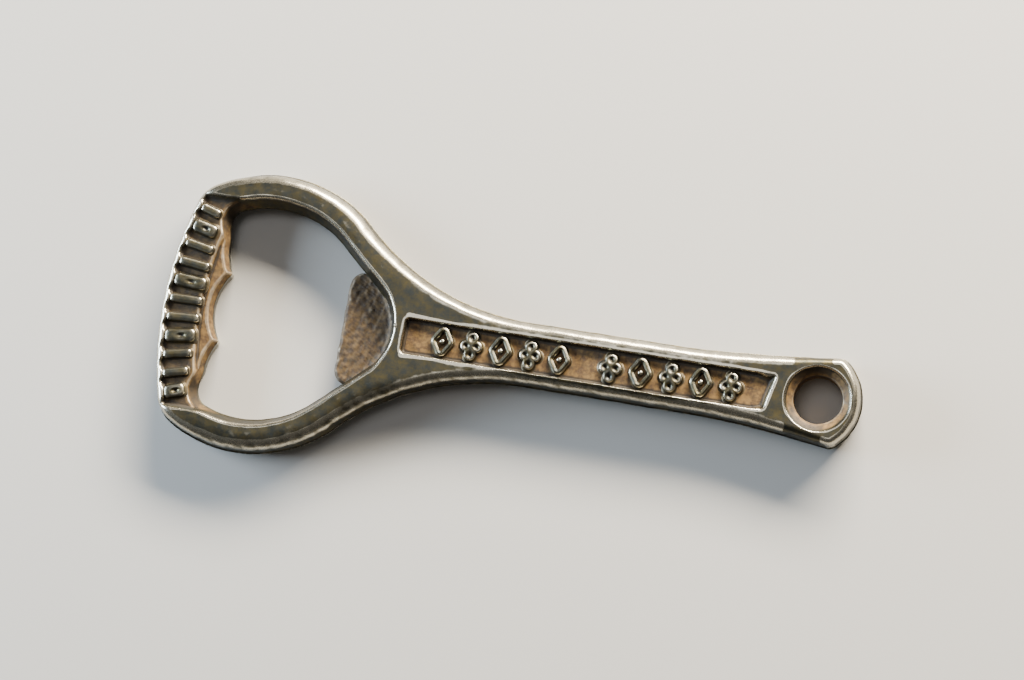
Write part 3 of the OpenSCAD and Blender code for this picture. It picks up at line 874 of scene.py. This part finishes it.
def lip_section():
    """The lip: rows from its round free edge across its top to inside the throat's wall, and back below."""
    top_wall = lip_wall(NOSE_R - WINDOW_DRAFT + LIP_BURY)
    low_wall = lip_wall(NOSE_R + LIP_BURY)
    a = np.linspace(0, LIP_TURN * math.pi / 2, 14)
    reach, spread = lip_wall(NOSE_R - WINDOW_DRAFT)[-1, 0] - LIP_X, LIP_ROOT_HALF_W - LIP_HALF_W
    sweep_out = np.stack([LIP_X + reach * (1 - np.cos(a)), LIP_HALF_W + spread * np.sin(a)], -1)
    edge = join(line((LIP_X, 0), (LIP_X, LIP_HALF_W), 40), sweep_out, line(sweep_out[-1], top_wall[-1], 4))
    edge = respaced(both_sides(edge), LIP_N)
    strength = np.exp(-((np.abs(edge[:, 1]) - RIPPLE_Y) / RIPPLE_SPREAD) ** 2)
    edge[:, 0] += RIPPLE_H * np.sin(edge[:, 1] * RIPPLE_RATE) * strength
    r_top, r_low = LIP_TOP_R, LIP_LOW_R
    inward = top_wall - edge
    inward /= np.linalg.norm(inward, axis=1)[:, None] + 1e-9
    turn = np.linspace(0, math.pi / 2, 10)[:, None, None]

    def rows(p, z):
        return np.concatenate([p, np.broadcast_to(z, p.shape[:-1] + (1,))], -1)

    share = np.linspace(0, 1, 45)[1:, None, None]
    inner = edge + inward * r_top
    face = inner * (1 - share) + top_wall * share
    gap = np.clip(np.linalg.norm(top_wall - face, axis=-1, keepdims=True) - LIP_BURY, 0, None)
    share_low = np.linspace(1, 0, 20)[:, None, None]
    below = (edge + inward * r_low) * (1 - share_low) + low_wall * share_low
    section = np.concatenate([
        rows(edge + inward * r_top * (1 - np.cos(turn)), LIP_TOP - r_top * (1 - np.sin(turn))),
        rows(face, LIP_TOP + LIP_RISE * np.exp(-gap / LIP_RISE_REACH)),
        rows(below, 0.3 * smooth(0.9, 1.0, share_low)),
        rows(edge + inward * r_low * (1 - np.cos(turn[::-1])), r_low * (1 - np.sin(turn[::-1]))),
    ])
    rough = uneven(section, *LIP_WAVES) - section
    return section + np.where(section[..., 2:] > LIP_TOP - r_top, rough * [0.2, 0.2, 1], 0)


# ---------------------------------------------------------------- finishes
def node(tree, kind, x, y, **inputs):
    """A shader node at a place in the tree, with its inputs set; an underscore stands for a space."""
    made = tree.nodes.new(kind)
    made.location = (x, y)
    for key, value in inputs.items():
        made.inputs[key.replace("_", " ")].default_value = value
    return made


def noise(tree, coordinates, size_mm, detail, seed, y):
    """Noise of a given grain in millimetres, from the piece's own coordinates."""
    made = node(tree, "ShaderNodeTexNoise", -900, y, Scale=1 / (size_mm * MM), Detail=detail, Roughness=0.6)
    shift = node(tree, "ShaderNodeMapping", -1100, y)
    shift.inputs["Location"].default_value = (seed * 0.37, seed * 0.11, seed * 0.23)
    tree.links.new(coordinates, shift.inputs["Vector"])
    tree.links.new(shift.outputs["Vector"], made.inputs["Vector"])
    return made.outputs["Fac"]


def ramp(tree, value, low, high, x, y, start=0.0, end=1.0):
    """A value carried smoothly from low..high to start..end."""
    made = node(tree, "ShaderNodeMapRange", x, y)
    made.interpolation_type = "SMOOTHSTEP"
    for key, number in (("From Min", low), ("From Max", high), ("To Min", start), ("To Max", end)):
        made.inputs[key].default_value = number
    tree.links.new(value, made.inputs["Value"])
    return made.outputs["Result"]


def maths(tree, operation, a, b, x, y):
    """Two values, each a number or an output, put through one operation."""
    made = node(tree, "ShaderNodeMath", x, y)
    made.operation = operation
    for slot, value in zip(made.inputs, (a, b)):
        if isinstance(value, (int, float)):
            slot.default_value = value
        else:
            tree.links.new(value, slot)
    return made.outputs["Value"]


def mix(tree, share, a, b, x, y):
    """Two colours, each a tuple or an output, mixed by a share of the second."""
    made = node(tree, "ShaderNodeMix", x, y)
    made.data_type = "RGBA"
    tree.links.new(share, made.inputs["Factor"])
    for slot, value in ((made.inputs["A"], a), (made.inputs["B"], b)):
        if isinstance(value, tuple):
            slot.default_value = (*value, 1)
        else:
            tree.links.new(value, slot)
    return made.outputs["Result"]


PEWTER, OLIVE, PLATE = (0.044, 0.047, 0.043), (0.095, 0.075, 0.034), (0.46, 0.42, 0.33)
# The first colour darkens concave corners: grime, and painted shade where shade falls
GRIME_AND_SHADE, RUST, RUST_LIGHT = (0.012, 0.009, 0.006), (0.062, 0.028, 0.008), (0.19, 0.105, 0.029)


# (from, to) thresholds of the finish: bend in corners (grime and painted shade), noise in the mottle, rust
# and pits, and recess depth
CORNER_BEND, MOTTLE, RUST_TONE = (-0.12, -0.75), (0.42, 1.0), (0.36, 0.66)
RUST_DEPTH, RUST_PATCH, PIT = (0.45, 0.95), (0.28, 0.5), (0.30, 0.42)
SPECK_ON_RIDGE, FINE_IN_MOTTLE, GRIME_AND_SHADE_SHARE, CORNER_DULL = 0.28, 0.35, 0.85, 0.7
METAL_ROUGH, PLATE_ROUGH, DULL_METALLIC = 0.36, 0.25, 0.35


def worn_finish(name, plate_low, plate_high, rust_share, lightness, rust_lightness):
    """Worn plate on cast iron: bright on ridges, mottled between, darkened in corners by grime and painted
    shade, rusty in recesses.
    """
    mat = bpy.data.materials.new(name)
    mat.use_nodes = True
    tree = mat.node_tree
    bsdf = tree.nodes["Principled BSDF"]
    place = node(tree, "ShaderNodeTexCoord", -1300, 0).outputs["Object"]
    bend = node(tree, "ShaderNodeAttribute", -1300, -300)
    bend.attribute_name = "bend"
    depth = node(tree, "ShaderNodeAttribute", -1300, -500)
    depth.attribute_name = "depth"
    fine = noise(tree, place, 0.35, 6, 1, 300)
    patch = noise(tree, place, 1.5, 7, 2, 100)
    speck = noise(tree, place, 0.9, 8, 3, -100)
    uneven_speck = maths(tree, "SUBTRACT", speck, 0.5, -700, -200)
    ridge = maths(tree, "ADD", bend.outputs["Fac"],
                  maths(tree, "MULTIPLY", uneven_speck, SPECK_ON_RIDGE, -600, -200), -500, -250)
    bright = ramp(tree, ridge, plate_low, plate_high, -400, -250)
    corner = ramp(tree, bend.outputs["Fac"], *CORNER_BEND, -400, -450)
    grain = maths(tree, "ADD", patch, maths(tree, "MULTIPLY", fine, FINE_IN_MOTTLE, -700, 200), -600, 150)
    mottle = ramp(tree, grain, *MOTTLE, -400, 100)
    pewter, olive = (tuple(c * lightness for c in colour) for colour in (PEWTER, OLIVE))
    metal = mix(tree, mottle, pewter, olive, -200, 100)
    metal = mix(tree, bright, metal, PLATE, 0, 50)
    dark, light = (tuple(c * rust_lightness for c in colour) for colour in (RUST, RUST_LIGHT))
    rust_colour = mix(tree, ramp(tree, speck, *RUST_TONE, -400, 400), dark, light, -200, 400)
    low = ramp(tree, depth.outputs["Fac"], *RUST_DEPTH, -400, -650)
    rusty = maths(tree, "MULTIPLY", maths(tree, "MULTIPLY", low, rust_share, -200, -650),
                  ramp(tree, patch, *RUST_PATCH, -400, -800, 0.55, 1.0), -100, -650)
    colour = mix(tree, rusty, metal, rust_colour, 150, 100)
    # Concave corners mixed towards the dark corner colour: grime, and painted shade
    colour = mix(tree, maths(tree, "MULTIPLY", corner, GRIME_AND_SHADE_SHARE, -200, -450), colour, GRIME_AND_SHADE, 300, 100)
    dull = maths(tree, "MAXIMUM", rusty, maths(tree, "MULTIPLY", corner, CORNER_DULL, -200, -500), 300, -300)
    tree.links.new(colour, bsdf.inputs["Base Color"])
    tree.links.new(ramp(tree, dull, 0.0, 1.0, 300, -150, 1.0, DULL_METALLIC), bsdf.inputs["Metallic"])
    rough = ramp(tree, bright, 0.0, 1.0, 300, -450, METAL_ROUGH, PLATE_ROUGH)
    rough = maths(tree, "ADD", rough, maths(tree, "MULTIPLY", dull, 0.3, 400, -500), 450, -450)
    rough = maths(tree, "ADD", rough, maths(tree, "MULTIPLY", fine, 0.16, 400, -600), 500, -500)
    tree.links.new(maths(tree, "SUBTRACT", rough, 0.06, 600, -500), bsdf.inputs["Roughness"])
    pits = ramp(tree, speck, *PIT, -400, 600)
    height = maths(tree, "ADD", maths(tree, "MULTIPLY", fine, 0.5, 100, 600), maths(
        tree, "MULTIPLY", pits, 0.6, 100, 700), 200, 650)
    strength = maths(tree, "ADD", 0.22, maths(tree, "MULTIPLY", dull, 0.5, 200, 500), 300, 550)
    bump = node(tree, "ShaderNodeBump", 450, 500, Distance=0.06 * MM)
    tree.links.new(height, bump.inputs["Height"])
    tree.links.new(strength, bump.inputs["Strength"])
    tree.links.new(bump.outputs["Normal"], bsdf.inputs["Normal"])
    return mat


WORN = worn_finish("worn_casting", 0.11, 0.32, 0.8, 1.0, 1.0)
RELIEF_FINISH = worn_finish("bright_relief", 0.35, 1.4, 0.5, 1.2, 0.7)
LIP_FINISH = worn_finish("rusty_lip", 0.35, 1.1, 0.9, 1.0, 0.45)


# ---------------------------------------------------------------- pieces
def mirrored(section):
    """The same skin on the other side of the X axis."""
    return section[:, ::-1] * [1, -1, 1]


def casting_skins():
    """The casting's regions, with the CAD nodes that each replaces."""
    arm = loop_section(arm_outer, arm_inner)
    eye = eye_section()
    in_sink = np.hypot(eye[..., 0] - EYE_X, eye[..., 1]) < SINK_R + 0.1
    sink = np.where(in_sink, np.clip(1.6 * (THICK - eye[..., 2]), 0, 1), 0).reshape(-1)
    return [
        (Skin("crossbar_casting", loop_section(bar_outer, bar_inner)), ["crossbar"]),
        (Skin("loop_arm_left_casting", arm), ["loop_arm_left"]),
        (Skin("loop_arm_right_casting", mirrored(arm)), ["loop_arm_right"]),
        (Skin("throat_casting", loop_section(throat_outer, throat_inner), seam_x=NECK_JOINT_X), ["throat"]),
        (Skin("handle_casting", shank_section()), ["handle_shank"]),
        (Skin("eye_casting", eye, wrap_points=True, seam_x=EYE_JOINT_X, depth=sink), ["hanging_eye"]),
    ]


def soil_and_shade(points):
    """Dirt and painted shade that lie round the raised ornament and between the ribs, 0 to 1."""
    x, y = points[:, 0], points[:, 1]
    q = ((np.abs(x[:, None] - motif_places()) / (MOTIF_W / 2)) ** 1.5
         + (np.abs(y - PANEL_Y)[:, None] / (MOTIF_H / 2)) ** 1.5) ** (1 / 1.5)
    round_motif = np.exp(-(np.clip(q - 1, 0, None) / 0.16) ** 2).max(-1) * (panel_recess(x, y) > 0.6)
    d = BAR_R - np.hypot(x - BAR_CX, y)
    in_band = smooth(1.0, 1.6, d) * (1 - smooth(6.8, 7.8, d)) * (np.abs(y) < BAND_HALF_L)
    return np.where(points[:, 2] > PARTING, np.maximum(0.7 * round_motif, in_band), 0)


def build_casting():
    """The casting's pieces, shaded together so that their joints don't show."""
    made = casting_skins()
    normals, bend = shade([skin for skin, _ in made])
    # Less bend round the ornament and in the ribbed band darkens them: dirt, and painted shade at the foot
    # of the relief
    bend = bend - 0.5 * soil_and_shade(np.concatenate([skin.points for skin, _ in made]))
    offset = 0
    for skin, nodes in made:
        here = slice(offset, offset + len(skin.points))
        offset += len(skin.points)
        make_piece(skin, normals[here], bend[here], nodes, WORN)


def build_ornament(name, sections, nodes, material, wrap_rows, depth):
    """Several closed grids joined in one piece, each shaded by itself."""
    parts = []
    for k, section in enumerate(sections):
        skin = Skin(f"{name}_{k}", section, wrap_rows=wrap_rows[k], wrap_points=True, depth=depth(section))
        _, bend = shade([skin])
        parts.append((skin, bend))
    whole = parts[0][0]
    offset = np.cumsum([0] + [len(s.points) for s, _ in parts])
    whole.name = name
    faces = np.concatenate([s.faces + k for (s, _), k in zip(parts, offset)])
    whole.depth = np.concatenate([s.depth for s, _ in parts])
    whole.points = np.concatenate([s.points for s, _ in parts])
    whole.faces = faces
    whole.hidden = np.zeros(len(faces), bool)
    obj = make_piece(whole, None, np.concatenate([b for _, b in parts]), nodes, material)
    merge_doubles(obj)


def below_top(floor, height):
    """How deep a point lies: 1 at the floor and 0 at the relief's top."""
    def depth(section):
        return np.clip(1 - (section[..., 2] - floor) / height, 0, 1).reshape(-1) * 0.8
    return depth


def build_all():
    build_casting()
    x = motif_places()
    lozenges = [s for k in range(0, 2 * GROUP_N, 2) for s in lozenge_sections(x[k])]
    build_ornament("lozenge_relief", lozenges, ["panel_lozenges"], RELIEF_FINISH,
                   [True, False] * GROUP_N, below_top(PANEL_FLOOR, RELIEF))
    rosettes = [rosette_section(x[k]) for k in range(1, 2 * GROUP_N, 2)]
    build_ornament("rosette_relief", rosettes, ["panel_rosettes"], RELIEF_FINISH,
                   [False] * GROUP_N, below_top(PANEL_FLOOR, RELIEF))
    ribs = [rib_section(i) for i in range(RIB_N)]
    build_ornament("crossbar_rib_relief", ribs, ["crossbar_ribs"], RELIEF_FINISH,
                   [False] * RIB_N, below_top(THICK - BAND_DEPTH, RIB_H))
    for side, name in ((1, "left"), (-1, "right")):
        skin = Skin(f"cap_tooth_{name}_tip", tooth_section(side))
        normals, bend = shade([skin])
        make_piece(skin, normals, bend, [f"cap_tooth_{name}"], WORN)
    section = lip_section()
    skin = Skin("lifting_lip_plate", section, depth=np.full(section.size // 3, 1.0))
    normals, bend = shade([skin])
    make_piece(skin, normals, bend, ["lifting_lip"], LIP_FINISH)


build_all()


# ---------------------------------------------------------------- floor, light and camera
def build_floor():
    half = 1.5
    mesh = bpy.data.meshes.new("floor")
    corners = [(-half, -half, 0), (half, -half, 0), (half, half, 0), (-half, half, 0)]
    mesh.from_pydata(corners, [], [(0, 1, 2, 3)])
    floor = bpy.data.objects.new("floor", mesh)
    bpy.context.scene.collection.objects.link(floor)
    mat = bpy.data.materials.new("pale_floor")
    mat.use_nodes = True
    bsdf = mat.node_tree.nodes["Principled BSDF"]
    bsdf.inputs["Base Color"].default_value = (0.42, 0.405, 0.385, 1)
    bsdf.inputs["Roughness"].default_value = 0.85
    mesh.materials.append(mat)


def area_light(name, place, size, power, colour):
    """A rectangular lamp that points at the opener's middle; sizes in metres, power in watts."""
    data = bpy.data.lights.new(name, "AREA")
    data.shape = "RECTANGLE"
    data.size, data.size_y = size
    data.energy = power
    data.color = colour
    lamp = bpy.data.objects.new(name, data)
    bpy.context.scene.collection.objects.link(lamp)
    lamp.location = place
    lamp.rotation_euler = (-Vector(place)).to_track_quat("-Z", "Y").to_euler()


def build_studio():
    """Warm light from a low window on the far side, cool light from the left and a weak one from above."""
    area_light("window_light", (0.16, 0.50, 0.22), size=(0.50, 0.13), power=32.0, colour=(1.0, 0.92, 0.77))
    area_light("sky_light", (-0.50, 0.03, 0.15), size=(0.30, 0.16), power=8.0, colour=(0.68, 0.84, 1.0))
    area_light("soft_top", (-0.10, 0.16, 0.75), size=(0.4, 0.4), power=1.3, colour=(0.97, 0.98, 1.0))
    world = bpy.data.worlds.new("studio")
    world.use_nodes = True
    back = world.node_tree.nodes["Background"]
    back.inputs["Color"].default_value = (0.50, 0.49, 0.47, 1)
    back.inputs["Strength"].default_value = 0.22
    bpy.context.scene.world = world


CAMERA_PLACE, CAMERA_TURN, CAMERA_LENS = (0.08305, -0.05406, 0.39007), (10.140, 10.264, 10.65), 84.375


def build_camera():
    """The camera, placed in metres and turned in degrees."""
    data = bpy.data.cameras.new("camera")
    data.sensor_width = 36
    data.lens = CAMERA_LENS
    camera = bpy.data.objects.new("camera", data)
    camera.location = CAMERA_PLACE
    camera.rotation_euler = tuple(math.radians(a) for a in CAMERA_TURN)
    bpy.context.scene.collection.objects.link(camera)
    bpy.context.scene.camera = camera


build_floor()
build_studio()
build_camera()
